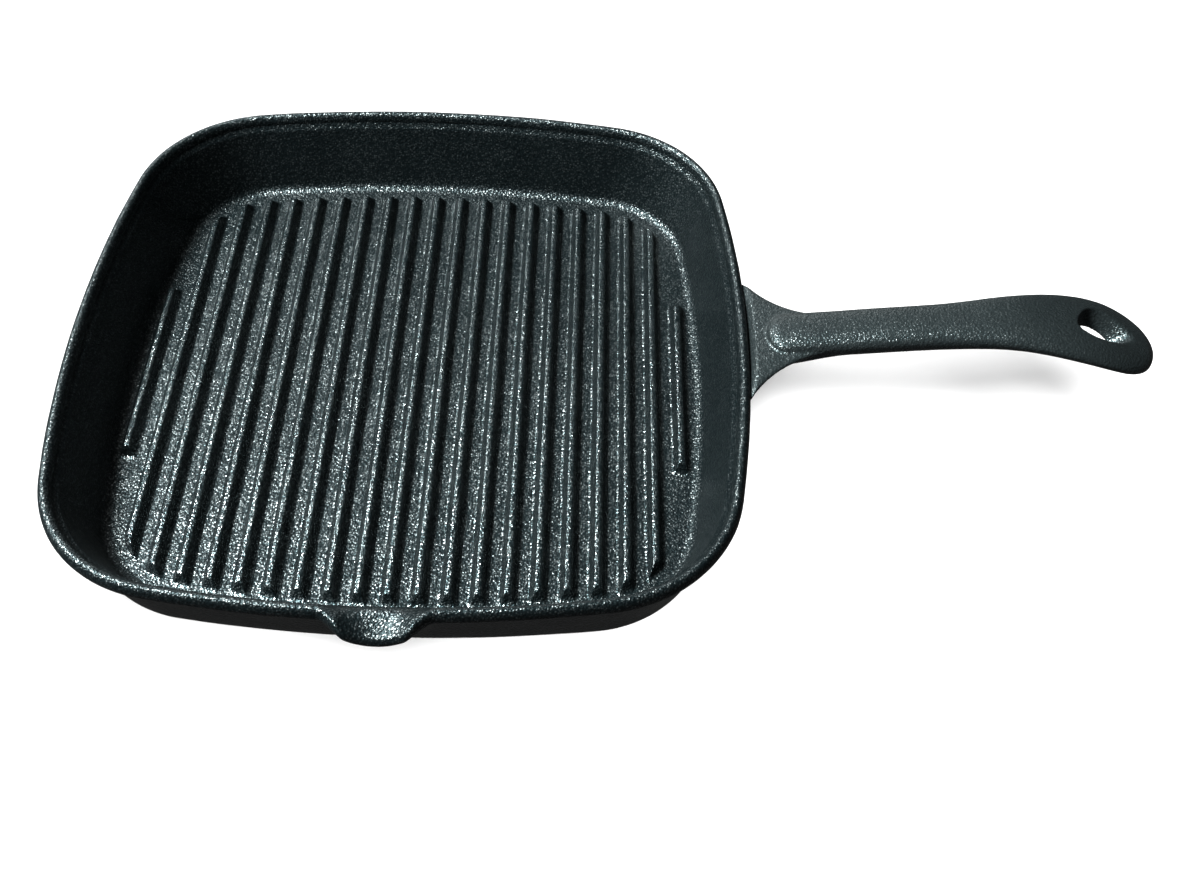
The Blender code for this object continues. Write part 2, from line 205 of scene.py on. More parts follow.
def skin(bm, rings, closed=True):
    """Adds rings of equal count and the quads between them. Returns the rows of vertices."""
    rows = [[bm.verts.new(point) for point in ring] for ring in rings]
    count = len(rings[0])
    for lower, upper in zip(rows, rows[1:]):
        for i in range(count if closed else count - 1):
            j = (i + 1) % count
            bm.faces.new((lower[i], lower[j], upper[j], upper[i]))
    return rows


def fan(bm, row, point):
    """Closes a ring with triangles to a point."""
    tip = bm.verts.new(point)
    for i, vert in enumerate(row):
        bm.faces.new((vert, row[(i + 1) % len(row)], tip))


def cap_ends(bm, rows, rings):
    """Closes the first and the last ring with a fan to the middle of each."""
    for row, ring in ((rows[0], rings[0]), (rows[-1], rings[-1])):
        fan(bm, row, sum((Vector(point) for point in ring), Vector()) / len(ring))


def cast_unevenness(obj, amounts, low_z=0.0):
    """Moves the surface in and out a little, as sand moulding does. amounts are (size, height) pairs."""
    normals = [vert.normal.copy() for vert in obj.data.vertices]
    for vert, normal in zip(obj.data.vertices, normals):
        if vert.co.z > low_z:
            shift = sum(height * noise.noise(vert.co / size) for size, height in amounts)
            vert.co += normal * shift


# ---------------------------------------------------------------- pan body

SIDE_STEPS, CORNER_STEPS, SPOUT_STEPS, BESIDE_SPOUT_STEPS = 56, 36, 72, 18
SPOUT_SHARE = 0.32


def corner_centre(half, bow_radius, corner):
    """Distance, along X and along Y, of a corner arc's centre from the middle."""
    m = half - bow_radius
    return (m + math.sqrt(2.0 * (bow_radius - corner) ** 2 - m * m)) / 2.0


def bowed_square(half, bow_radius, corner):
    """Points of the outline, counter-clockwise, starting at the front side's left end."""
    m = half - bow_radius
    k = corner_centre(half, bow_radius, corner)
    spread = math.atan2(k, k - m)
    even = steps(-1.0, 1.0, SIDE_STEPS)[:-1]
    beside = steps(-1.0, -SPOUT_SHARE, BESIDE_SPOUT_STEPS)[:-1]
    front = beside + steps(-SPOUT_SHARE, SPOUT_SHARE, SPOUT_STEPS) + [-t for t in reversed(beside[1:])]
    points = []
    for quarter in range(4):
        facing = math.radians(-90 + 90 * quarter)
        for t in front if quarter == 0 else even:
            angle = facing + t * spread
            points.append((m * math.cos(facing) + bow_radius * math.cos(angle),
                           m * math.sin(facing) + bow_radius * math.sin(angle)))
        diagonal = facing + math.radians(45)
        for t in steps(0.0, 1.0, CORNER_STEPS)[:-1]:
            angle = lerp(facing + spread, facing + math.radians(90) - spread, t)
            points.append((math.sqrt(2) * k * math.cos(diagonal) + corner * math.cos(angle),
                           math.sqrt(2) * k * math.sin(diagonal) + corner * math.sin(angle)))
    return points


def outline_y(x, half, bow_radius, corner):
    """Half-depth of a bowed square at x."""
    m = half - bow_radius
    k = corner_centre(half, bow_radius, corner)
    x = abs(x)
    if x < bow_radius * math.sin(math.atan2(k, k - m)):
        return m + math.sqrt(bow_radius ** 2 - x * x)
    return k + math.sqrt(max(0.0, corner ** 2 - (x - k) ** 2))


def wall_sizes(z, inset):
    """Half side, bow radius and corner radius of the wall's outer face at height z, set in by inset."""
    t = (z - BASE_Z) / (PAN_HEIGHT - BASE_Z)
    return (lerp(BASE_HALF, RIM_HALF - BEAD_OUT, t) - inset,
            lerp(BASE_BOW_RADIUS, RIM_BOW_RADIUS, t) - inset,
            lerp(BASE_CORNER, RIM_CORNER, t) - inset)


def wall_thickness(z):
    """Measured level, from the outer face to the inner face."""
    return lerp(WALL_FOOT_THICKNESS, WALL_TOP_THICKNESS, (z - FLOOR_Z) / (PAN_HEIGHT - FLOOR_Z))


def push_share(z):
    """Share of the spout's reach at height z."""
    return ease((z - SPOUT_LOW_Z) / (PAN_HEIGHT - SPOUT_LOW_Z))


def dip_share(z, top_z):
    """Share of the spout's dip at height z, under a full dip at top_z."""
    return ease((z - TROUGH_LOW_Z) / (top_z - TROUGH_LOW_Z))


def spouted(points, z, reach=0.0, dip=0.0):
    """A level ring pushed out by reach and down by dip where the spout is."""
    ring = []
    for x, y in points:
        if y < 0 and abs(x) < SPOUT_HALF:
            out = 1.0 - ease((abs(x) - SPOUT_FLAT_HALF) / (SPOUT_HALF - SPOUT_FLAT_HALF))
            down = (1.0 - min(1.0, abs(x) / TROUGH_HALF) ** TROUGH_FLATNESS) ** TROUGH_SHOULDER
            ring.append((x, y - reach * out, z - dip * down))
        else:
            ring.append((x, y, z))
    return ring


def pushed_ring(z, sizes):
    """A ring of the outer face, with the spout."""
    return spouted(bowed_square(*sizes), z, SPOUT_REACH * push_share(z), SPOUT_DIP * dip_share(z, PAN_HEIGHT))


def outer_wall_rings():
    """From the rounded edge of the underside up to the widest line of the rim."""
    rings = []
    for turn in steps(0.0, BASE_EDGE_TURN, BASE_EDGE_STEPS):
        z = BASE_EDGE_HEIGHT * (1.0 - math.cos(turn))
        inset = BASE_EDGE_INSET * (1.0 - math.sin(turn))
        rings.append(spouted(bowed_square(*wall_sizes(z, inset)), z))
    for z in steps(BASE_EDGE_HEIGHT, BEAD_FOOT_Z, OUTER_WALL_STEPS):
        rings.append(pushed_ring(z, wall_sizes(z, 0.0)))
    for t in steps(0.0, 1.0, BEAD_FOOT_STEPS)[1:-1]:
        z = lerp(BEAD_FOOT_Z, PAN_HEIGHT - BEAD_RISE, t)
        rings.append(pushed_ring(z, wall_sizes(lerp(z, PAN_HEIGHT, t), -BEAD_OUT * ease(t))))
    return rings


def bead_rings():
    """Half an ellipse over the top. Its inner half becomes the sloping channel at the spout."""
    middle_z = PAN_HEIGHT - BEAD_RISE
    rings = []
    for angle in steps(0.0, math.pi, BEAD_STEPS):
        inset = BEAD_THICKNESS / 2 * (1.0 - math.cos(angle)) - BEAD_OUT
        z = middle_z + BEAD_RISE * math.sin(angle)
        inward = max(0.0, (angle - math.pi / 2) / (math.pi / 2))
        if inward > 0.0:
            reach = SPOUT_REACH * (1.0 - inward)
            roll = CHANNEL_ROLL * inward ** CHANNEL_ROLL_POWER
            channel_z = PAN_HEIGHT - lerp(SPOUT_DIP, SPOUT_INNER_DIP, inward) - roll
            dip = z - channel_z
        else:
            reach = SPOUT_REACH * lerp(push_share(z), 1.0, math.sin(angle))
            dip = SPOUT_DIP * lerp(dip_share(z, PAN_HEIGHT), 1.0, math.sin(angle))
        rings.append(spouted(bowed_square(*wall_sizes(PAN_HEIGHT, inset)), z, reach, dip))
    return rings


def inner_wall_rings():
    """Down the inner face and round the fillet onto the floor."""
    top_z = PAN_HEIGHT - BEAD_RISE
    last_dip = top_z - (PAN_HEIGHT - SPOUT_INNER_DIP - CHANNEL_ROLL)
    top = wall_sizes(PAN_HEIGHT, WALL_TOP_THICKNESS)[0]
    foot = wall_sizes(FLOOR_Z, WALL_FOOT_THICKNESS)[0]
    lean = math.atan2(top - foot, PAN_HEIGHT - FLOOR_Z)
    centre_z = FLOOR_Z + FLOOR_FILLET
    centre_half = foot + FLOOR_FILLET * (math.tan(lean) - 1.0 / math.cos(lean))
    fillet_top_z = centre_z - FLOOR_FILLET * math.sin(lean)
    rings = []
    for z in steps(top_z, fillet_top_z, INNER_WALL_STEPS)[1:-1]:
        dip = last_dip * dip_share(z, top_z)
        rings.append(spouted(bowed_square(*wall_sizes(z, wall_thickness(z))), z, 0.0, dip))
    for turn in steps(lean, math.radians(90), FLOOR_FILLET_STEPS):
        z = centre_z - FLOOR_FILLET * math.sin(turn)
        half = centre_half + FLOOR_FILLET * math.cos(turn)
        rings.append(spouted(bowed_square(*wall_sizes(z, wall_sizes(z, 0.0)[0] - half)), z))
    return rings


def shrunk(ring, share):
    return [(x * share, y * share, z) for x, y, z in ring]


def make_pan_body(material):
    rings = outer_wall_rings() + bead_rings() + inner_wall_rings()
    floor = [shrunk(rings[-1], math.sin(turn)) for turn in steps(math.pi / 2, 0.0, FLOOR_STEPS)[1:-1]]
    underside = [shrunk(rings[0], share) for share in steps(0.1, 1.0, UNDERSIDE_STEPS)[:-1]]
    bm = bmesh.new()
    rows = skin(bm, underside + rings + floor)
    fan(bm, rows[0], (0.0, 0.0, 0.0))
    fan(bm, rows[-1], (0.0, 0.0, FLOOR_Z))
    body = mesh_object("pan_body_casting", bm, material)
    cast_unevenness(body, BODY_UNEVENNESS, low_z=UNEVEN_ABOVE_Z)
    return body


# ---------------------------------------------------------------- grill ribs

def rib_profile():
    """Half a rib's section from the middle of its crest out to its buried skirt: (distance, height) points."""
    points = [(0.0, RIB_HEIGHT), (RIB_CREST_HALF, RIB_HEIGHT)]
    for turn in steps(0.0, RIB_FLANK, RIB_CURVE_STEPS)[1:]:
        points.append((RIB_CREST_HALF + RIB_CREST_RADIUS * math.sin(turn),
                       RIB_HEIGHT - RIB_CREST_RADIUS * (1.0 - math.cos(turn))))
    across, up = points[-1]
    foot_rise = RIB_FOOT_RADIUS * (1.0 - math.cos(RIB_FLANK))
    run = (up - foot_rise) / math.tan(RIB_FLANK)
    for t in steps(0.0, 1.0, RIB_FLANK_STEPS)[1:-1]:
        points.append((across + run * t, lerp(up, foot_rise, t)))
    foot = across + run + RIB_FOOT_RADIUS * math.sin(RIB_FLANK)
    for turn in steps(RIB_FLANK, 0.0, RIB_CURVE_STEPS):
        points.append((foot - RIB_FOOT_RADIUS * math.sin(turn), RIB_FOOT_RADIUS * (1.0 - math.cos(turn))))
    return points


PROFILE = rib_profile()
RIB_FOOT_HALF = PROFILE[-1][0]


def flank_height(inward):
    """Height of the rib's surface this far in from its outer edge."""
    distance = RIB_FOOT_HALF - inward
    for (near, high), (far, low) in zip(PROFILE, PROFILE[1:]):
        if near <= distance <= far:
            return lerp(high, low, (distance - near) / (far - near)) if far > near else high
    return RIB_HEIGHT if distance < 0.0 else 0.0


def soft_min(a, b, width):
    blend = max(0.0, width - abs(a - b)) / width
    return min(a, b) - blend * blend * width / 4.0


def along_noise(centre_x, y, scales):
    """Noise along a rib. Neighbouring ribs differ."""
    across, along, layer = scales
    return noise.noise(Vector((centre_x * across, y * along, layer)))


def close_under(bm, grid, under_z):
    """Hangs a skirt on the grid's border, down to under_z, and closes it with a strip under each row."""
    left = [row[0] for row in reversed(grid[1:-1])]
    right = [row[-1] for row in grid[1:-1]]
    border = grid[0] + right + list(reversed(grid[-1])) + left
    under = {vert: bm.verts.new((vert.co.x, vert.co.y, under_z)) for vert in border}
    for a, b in zip(border, border[1:] + border[:1]):
        bm.faces.new((b, a, under[a], under[b]))
    for lower, upper in zip(grid, grid[1:]):
        a = [under[v] for v in (lower if lower is grid[0] else (lower[0], lower[-1]))]
        b = [under[v] for v in (upper if upper is grid[-1] else (upper[0], upper[-1]))]
        bm.faces.new(a + list(reversed(b)))


def make_rib(node, material):
    """A height field over the rib's plan. Its rows follow the slanted ends."""
    low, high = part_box(node)
    centre_x = (low.x + high.x) / 2.0
    short = high.y < SHORT_RIB_REACH
    across = [-d for d, _ in reversed(PROFILE[1:])] + [d for d, _ in PROFILE]
    end_length = RIB_FOOT_HALF * RIB_END_STRETCH
    setbacks = [end_length - d * RIB_END_STRETCH for d, _ in reversed(PROFILE)]
    columns = []
    for offset in across:
        outline = outline_y(centre_x + offset, RIB_END_HALF, RIB_END_BOW_RADIUS, RIB_END_CORNER)
        edge = (high.y if short else outline) + RIB_END_MARGIN
        front = [-(edge - back) for back in setbacks]
        rear = [edge - back for back in reversed(setbacks)]
        between = steps(front[-1], rear[0], SHORT_RIB_STEPS if short else LONG_RIB_STEPS)[1:-1]
        columns.append(front + between + rear)
    points = []
    for j in range(len(columns[0])):
        line = []
        for i, offset in enumerate(across):
            x, y = centre_x + offset, columns[i][j]
            from_end = min(y - columns[i][0], columns[i][-1] - y) / RIB_END_STRETCH
            side = flank_height(RIB_FOOT_HALF - abs(offset))
            end = flank_height(from_end)
            up = soft_min(side, end, RIB_END_BLEND) if side > 0.0 and end > 0.0 else 0.0
            wander = RIB_WANDER * along_noise(centre_x, y, RIB_WANDER_NOISE)
            swell = 1.0 + RIB_SWELL * along_noise(centre_x, y, RIB_SWELL_NOISE)
            line.append((x + wander * up / RIB_HEIGHT, y, FLOOR_Z - RIB_SINK + max(0.0, up) * swell))
        points.append(line)
    bm = bmesh.new()
    close_under(bm, skin(bm, points, closed=False), FLOOR_Z - RIB_SKIRT_DEPTH)
    return mesh_object(node + "_casting", bm, material)


# ---------------------------------------------------------------- handle and cradle

def handle_line(x):
    """Height of the handle's middle line."""
    rise_x = CREST_X - CREST_RADIUS * math.sin(RISE_ANGLE)
    droop_x = CREST_X + CREST_RADIUS * math.sin(DROOP_ANGLE)
    on_arc = min(droop_x, max(rise_x, x))
    z = CREST_Z - CREST_RADIUS + math.sqrt(CREST_RADIUS ** 2 - (on_arc - CREST_X) ** 2)
    if x < rise_x:
        z -= (rise_x - x) * math.tan(RISE_ANGLE)
    if x > droop_x:
        z -= (x - droop_x) * math.tan(DROOP_ANGLE)
    return z


def handle_half_width(x):
    widening = ease(max(0.0, (x - PALM_START_X) / (PALM_X - PALM_START_X)) ** PALM_POWER)
    width = lerp(NECK_HALF, PALM_HALF, widening)
    if x > PALM_X:
        tip = (x - PALM_X) / (HANDLE_TIP_X - PALM_X)
        width = PALM_HALF * math.sqrt(max(0.0, 1.0 - tip ** TIP_POWER))
    if x < HANDLE_NOSE_X + NOSE_LENGTH:
        nose = (HANDLE_NOSE_X + NOSE_LENGTH - x) / NOSE_LENGTH
        width *= math.sqrt(max(0.0, 1.0 - nose ** NOSE_POWER))
    return width


def handle_depth_share(x):
    return lerp(1.0, PALM_THINNING, ease((x - THINNING_START_X) / (THINNING_END_X - THINNING_START_X)))


def handle_ring(x):
    """An oval section, flatter on top than below. It thins out towards the tip and the nose."""
    half = handle_half_width(x)
    full_depth_half = TIP_DEPTH_SHARE * PALM_HALF if x > PALM_X else NOSE_DEPTH_SHARE * NECK_HALF
    depth = handle_depth_share(x) * math.sqrt(min(1.0, half / full_depth_half))
    ring = []
    for angle in steps(0.0, 2 * math.pi, HANDLE_SIDES)[:-1]:
        up = math.sin(angle)
        squareness = TOP_SQUARENESS if up > 0 else UNDER_SQUARENESS
        reach = (HANDLE_TOP if up > 0 else HANDLE_BOTTOM) * depth
        ring.append((x, half * rounded(math.cos(angle), squareness),
                     handle_line(x) + reach * rounded(up, squareness)))
    return ring


def make_handle_bar():
    nose_end = HANDLE_NOSE_X + NOSE_LENGTH
    nose = [nose_end - NOSE_LENGTH * math.cos(a) for a in steps(NOSE_START, math.pi / 2, NOSE_STEPS)[:-1]]
    bar = steps(nose_end, PALM_X, BAR_STEPS)
    tip = [PALM_X + (HANDLE_TIP_X - PALM_X) * math.sin(a) for a in steps(0.0, TIP_END, TIP_STEPS)[1:]]
    rings = [handle_ring(x) for x in nose + bar + tip]
    bm = bmesh.new()
    rows = skin(bm, rings)
    fan(bm, rows[0], (HANDLE_NOSE_X, 0.0, handle_line(HANDLE_NOSE_X)))
    fan(bm, rows[-1], (HANDLE_TIP_X, 0.0, handle_line(HANDLE_TIP_X)))
    return mesh_object("handle_bar", bm)


def make_collar():
    """A low ring round the bar's nose, which sinks into the bar as it runs along."""
    rings = []
    for t in steps(0.0, 1.0, COLLAR_STEPS)[1:]:
        x = HANDLE_NOSE_X - COLLAR_WIDTH + (COLLAR_LENGTH + COLLAR_WIDTH) * t ** COLLAR_SPACING_POWER
        past = max(0.0, x - HANDLE_NOSE_X)
        fade = ease(past / COLLAR_LENGTH)
        nose = min(1.0, (x - HANDLE_NOSE_X + COLLAR_WIDTH) / (NOSE_LENGTH + COLLAR_WIDTH))
        width = NECK_HALF + lerp(COLLAR_WIDTH, -COLLAR_END_INSET, fade)
        half = width * math.sqrt(max(0.0, 1.0 - (1.0 - nose) ** COLLAR_NOSE_POWER))
        rise = min(1.0, nose * COLLAR_NOSE_RISE)
        top = handle_line(x) + HANDLE_TOP - COLLAR_DROP
        bottom = top - COLLAR_DEPTH
        ring = []
        for angle in steps(0.0, 2 * math.pi, HANDLE_SIDES)[:-1]:
            y = half * rounded(math.cos(angle), COLLAR_SIDE_SQUARENESS)
            up = (top - bottom) / 2 * rounded(math.sin(angle), COLLAR_TOP_SQUARENESS) * rise
            ring.append((x, y, (top + bottom) / 2 + up))
        rings.append(ring)
    bm = bmesh.new()
    cap_ends(bm, skin(bm, rings), rings)
    return mesh_object("nose_collar", bm)


def make_hole_cutter():
    """An egg-shaped cutter square to the drooping end. It opens upwards and flares along an arc at both faces."""
    middle_z = handle_line(HOLE_X) + handle_depth_share(HOLE_X) * (HANDLE_TOP - HANDLE_BOTTOM) / 2
    reach = handle_depth_share(HOLE_X) * (HANDLE_TOP + HANDLE_BOTTOM) / 2
    mouth = HOLE_FLARE * HOLE_MOUTH_SHARE
    rings = []
    for t in steps(-1.0, 1.0, HOLE_STEPS):
        up = t * reach * HOLE_OVERSHOOT
        lean = (t + 1.0) / 2.0
        past = max(0.0, abs(up) - (reach - mouth)) / mouth
        arc = 1.0 - math.sqrt(max(0.0, 1.0 - min(1.0, past) ** 2))
        flare = HOLE_FLARE * (arc + max(0.0, past - 1.0) * HOLE_OUTER_SLOPE)
        ring = []
        for angle in steps(0.0, 2 * math.pi, HOLE_SIDES)[:-1]:
            cosine, sine = math.cos(angle), math.sin(angle)
            half_width = HOLE_HALF_WIDTH * (1.0 + HOLE_EGG * cosine)
            along = (HOLE_HALF_LENGTH + flare + HOLE_TIP_LEAN * lean * max(0.0, cosine)) * cosine
            across = (half_width + flare + HOLE_BACK_LEAN * lean * max(0.0, sine)) * sine
            ring.append((HOLE_X + along * math.cos(DROOP_ANGLE) + up * math.sin(DROOP_ANGLE), across,
                         middle_z - along * math.sin(DROOP_ANGLE) + up * math.cos(DROOP_ANGLE)))
        rings.append(ring)
    bm = bmesh.new()
    rows = skin(bm, rings)
    for row in (rows[0], rows[-1]):
        bm.faces.new(row)
    return mesh_object("hole_cutter", bm)


def fillet_flare(distance, radius):
    """How far a concave fillet of this radius still stands out at this distance from the wall."""
    if distance >= radius:
        return 0.0
    return radius - math.sqrt(radius ** 2 - (radius - distance) ** 2)


def wall_face_x(y, z):
    half, bow_radius, _ = wall_sizes(z, 0.0)
    return half - bow_radius + math.sqrt(bow_radius ** 2 - y * y)


def cradle_ring(distance):
    """A section of the cradle at one distance from the wall, bowed and leaning like the wall."""
    beyond = max(0.0, distance)
    axis_x = RIM_HALF - BEAD_OUT + beyond
    fade = ease(beyond / CRADLE_LENGTH)
    wall = lerp(CRADLE_WALL, -CRADLE_END_INSET, fade)
    half = NECK_HALF + wall + fillet_flare(beyond, CRADLE_FILLET)
    groove = (CRADLE_RIDGE_Z - CRADLE_ROOT_TOP_Z) * (1.0 - ease(beyond / CRADLE_RIDGE_DISTANCE) ** GROOVE_POWER)
    crest = CRADLE_RIDGE_Z + max(0.0, beyond - CRADLE_RIDGE_DISTANCE) * math.tan(RISE_ANGLE)
    under = wall + fillet_flare(beyond, CRADLE_UNDER_FILLET)
    bottom = handle_line(axis_x) - HANDLE_BOTTOM - under
    ring = []
    for angle in steps(0.0, 2 * math.pi, CRADLE_SIDES)[:-1]:
        up = rounded(math.sin(angle), CRADLE_SQUARENESS)
        y = half * rounded(math.cos(angle), CRADLE_SQUARENESS)
        top = crest - groove * lerp(1.0, GROOVE_END_SHARE, ease((abs(y) - GROOVE_HALF) / GROOVE_HALF))
        widest_z = lerp(bottom, top, CRADLE_WIDEST)
        if up < 0.0:
            y *= lerp(1.0, CRADLE_TAPER, -up)
        z = widest_z + up * (top - widest_z if up > 0.0 else widest_z - bottom)
        ring.append((wall_face_x(y, z) + distance, y, z))
    return ring


def make_cradle():
    """From a little inside the wall out along the bar."""
    sunk = steps(-CRADLE_SINK, 0.0, 3)[:-1]
    near = [CRADLE_FIRST_STEP * CRADLE_STEP_GROWTH ** i for i in range(CRADLE_NEAR_STEPS)]
    far = steps(near[-1], CRADLE_LENGTH, CRADLE_FAR_STEPS)[1:]
    rings = [cradle_ring(distance) for distance in sunk + near + far]
    bm = bmesh.new()
    cap_ends(bm, skin(bm, rings), rings)
    return mesh_object("cradle_flare", bm)


def apply_modifier(obj, kind, **settings):
    """Replaces the object's mesh with what the modifier makes of it."""
    modifier = obj.modifiers.new(kind.lower(), kind)
    for name, value in settings.items():
        setattr(modifier, name, value)
    graph = bpy.context.evaluated_depsgraph_get()
    mesh = bpy.data.meshes.new_from_object(obj.evaluated_get(graph))
    obj.modifiers.clear()
    obj.data = mesh


def make_handle(material):
    """The bar with its hole, the cradle and the collar, merged and softened into one casting."""
    bar = make_handle_bar()
    cutter = make_hole_cutter()
    apply_modifier(bar, "BOOLEAN", operation="DIFFERENCE", solver="EXACT", object=cutter)
    cradle = make_cradle()
    collar = make_collar()
    bm = bmesh.new()
    for part in (bar, cradle, collar):
        bm.from_mesh(part.data)
    for helper in (bar, cutter, cradle, collar):
        bpy.data.objects.remove(helper)
    handle = mesh_object("handle_casting", bm)
    apply_modifier(handle, "REMESH", mode="VOXEL", voxel_size=VOXEL, adaptivity=0.0)
    apply_modifier(handle, "SMOOTH", factor=SMOOTHING_FACTOR, iterations=SMOOTHING_STEPS)
    handle.data.materials.clear()
    handle.data.materials.append(material)
    handle.data.shade_smooth()
    cast_unevenness(handle, HANDLE_UNEVENNESS)
    return handle


# ---------------------------------------------------------------- cast iron

# Sizes in metres of the pebbled skin, the finer grain, the soft swell and the broad blotches.
PEBBLE_SIZE, GRAIN_SIZE, SWELL_SIZE, BLOTCH_SIZE = 0.00088, 0.0009, 0.0045, 0.021
# The pebbles' outlines are bent by this much, by noise of this size.
PEBBLE_BEND, BEND_SIZE = 0.0006, 0.0014
SWELL_IN_BUMP, GRAIN_IN_COLOUR, BLOTCH_IN_COLOUR = 0.25, 0.75, 0.4
# Noise mostly lies between these.
NOISE_LOW, NOISE_HIGH = 0.3, 0.7
# A pebble glints from its middle (FULL) out to its edge (NONE). A higher power leaves fewer bright pebbles.
GLINT_FULL, GLINT_NONE, GLINT_RARITY = 0.25, 0.62, 1.5
# Reflections are tinted: cool and weak between the glints, nearly white in them.
SHEEN_TINT = (0.67, 0.95, 1.0)
GLINT_TINT = (0.90, 1.0, 1.0, 1.0)
ROUGHER, SMOOTHER = 0.04, 0.03

BLACK_DARK, BLACK_LIGHT = (0.0008, 0.0016, 0.0020, 1.0), (0.0030, 0.0048, 0.0052, 1.0)
# Painted light: the handle's colours are paler than the iron's, to stand in for the light that falls on the
# handle.
HANDLE_PAINTED_LIT_DARK, HANDLE_PAINTED_LIT_LIGHT = (0.0052, 0.0069, 0.0072, 1.0), (0.0094, 0.0121, 0.0125, 1.0)
PAPER_COLOUR, PAPER_ROUGHNESS = (0.86, 0.86, 0.86, 1.0), 0.8
FIBRE_SIZE, FIBRE_STRENGTH, FIBRE_DEPTH = 0.004, 0.2, 0.0001


class Nodes:
    """Adds shader nodes and links them."""

    def __init__(self, material):
        self.tree = material.node_tree

    def add(self, kind, inputs=(), **settings):
        node = self.tree.nodes.new(kind)
        for name, value in settings.items():
            setattr(node, name, value)
        for name, value in dict(inputs).items():
            socket = node.inputs[name]
            if isinstance(value, bpy.types.NodeSocket):
                self.tree.links.new(value, socket)
            else:
                socket.default_value = value
        return node

    def math(self, operation, *values, **settings):
        return self.add("ShaderNodeMath", dict(enumerate(values)), operation=operation, **settings).outputs[0]

    def mixed_colour(self, share, first, second):
        return self.add("ShaderNodeMix", {"Factor": share, "A": first, "B": second},
                        data_type="RGBA").outputs["Result"]


def noise_field(nodes, coords, size, detail=2.0, roughness=0.5):
    """Noise from 0 to 1 whose blotches are about this many metres across."""
    return nodes.add("ShaderNodeTexNoise", {"Vector": coords, "Scale": 1.0 / size, "Detail": detail,
                                            "Roughness": roughness}).outputs["Fac"]


def spread_range(nodes, value, low, high, to_low, to_high):
    """Maps low..high onto to_low..to_high, without leaving that range."""
    return nodes.add("ShaderNodeMapRange", {"Value": value, "From Min": low, "From Max": high,
                                            "To Min": to_low, "To Max": to_high}).outputs["Result"]


def iron(name, dark, light, roughness, grain_depth, glint, sheen):
    """Oiled sand-cast iron, nearly black: its look comes from glints on a pebbled grain."""
    material = bpy.data.materials.new(name)
    material.use_nodes = True
    nodes = Nodes(material)
    shader = material.node_tree.nodes["Principled BSDF"]
    coords = nodes.add("ShaderNodeTexCoord").outputs["Object"]
    bend = nodes.add("ShaderNodeTexNoise", {"Vector": coords, "Scale": 1.0 / BEND_SIZE, "Detail": 1.0})
    bent = nodes.add("ShaderNodeVectorMath", {0: bend.outputs["Color"], 1: (PEBBLE_BEND,) * 3, 2: coords},
                     operation="MULTIPLY_ADD").outputs[0]
    pebbles = nodes.add("ShaderNodeTexVoronoi", {"Vector": bent, "Scale": 1.0 / PEBBLE_SIZE}).outputs
    grain = noise_field(nodes, coords, GRAIN_SIZE, 2.0, 0.6)
    swell = noise_field(nodes, coords, SWELL_SIZE, 2.0)
    blotch = noise_field(nodes, coords, BLOTCH_SIZE, 3.0)

    height = nodes.math("SUBTRACT", grain, pebbles["Distance"])
    height = nodes.math("MULTIPLY_ADD", swell, SWELL_IN_BUMP, height)
    bump = nodes.add("ShaderNodeBump", {"Height": height, "Strength": 1.0, "Distance": grain_depth})

    chance = nodes.add("ShaderNodeSeparateColor", {"Color": pebbles["Color"]}).outputs[0]
    chance = nodes.math("POWER", chance, GLINT_RARITY)
    speck = spread_range(nodes, pebbles["Distance"], GLINT_FULL, GLINT_NONE, glint, 0.0)
    speck = nodes.math("MULTIPLY", speck, chance)
    tint = nodes.mixed_colour(speck, tuple(share * sheen for share in SHEEN_TINT) + (1.0,), GLINT_TINT)

    shade = spread_range(nodes, grain, NOISE_LOW, NOISE_HIGH, 0.0, GRAIN_IN_COLOUR)
    shade = nodes.math("MULTIPLY_ADD", blotch, BLOTCH_IN_COLOUR, shade, use_clamp=True)
    colour = nodes.mixed_colour(shade, dark, light)
    rough = spread_range(nodes, blotch, NOISE_LOW, NOISE_HIGH, roughness - SMOOTHER, roughness + ROUGHER)

    shader.inputs["Metallic"].default_value = 0.0
    shader.inputs["Specular IOR Level"].default_value = 1.0
    for socket, value in (("Base Color", colour), ("Roughness", rough), ("Normal", bump.outputs["Normal"]),
                          ("Specular Tint", tint)):
        material.node_tree.links.new(value, shader.inputs[socket])
    return material


def paper(name, colour):
    """Matt paper with a faint tooth."""
    material = bpy.data.materials.new(name)
    material.use_nodes = True
    nodes = Nodes(material)
    shader = material.node_tree.nodes["Principled BSDF"]
    coords = nodes.add("ShaderNodeTexCoord").outputs["Object"]
    fibres = noise_field(nodes, coords, FIBRE_SIZE, 4.0)
    bump = nodes.add("ShaderNodeBump", {"Height": fibres, "Strength": FIBRE_STRENGTH, "Distance": FIBRE_DEPTH})
    material.node_tree.links.new(bump.outputs["Normal"], shader.inputs["Normal"])
    shader.inputs["Base Color"].default_value = colour
    shader.inputs["Roughness"].default_value = PAPER_ROUGHNESS
    return material


# ---------------------------------------------------------------- stage, lights and camera

CAMERA_PLACE = Vector((0.06365, -0.36288, 0.43000))
CAMERA_AZIMUTH, CAMERA_ELEVATION, CAMERA_ROLL = math.radians(-1.55), math.radians(52.06), math.radians(3.06)
CAMERA_LENS, CAMERA_SENSOR = 40.385, 36.0
FLOOR_HALF = 2.0
FLOOR_DROP = 0.0003
PAN_MIDDLE = Vector((0.03, 0.0, 0.02))
# A gamma under 1 deepens the shadows.
TONE_GAMMA = 0.80
# What the camera sees past the floor, and what lights the pan: colour and strength.
BACKDROP, AMBIENT = ((0.98, 0.98, 0.98, 1.0), 1.0), ((0.80, 0.92, 1.0, 1.0), 0.004)

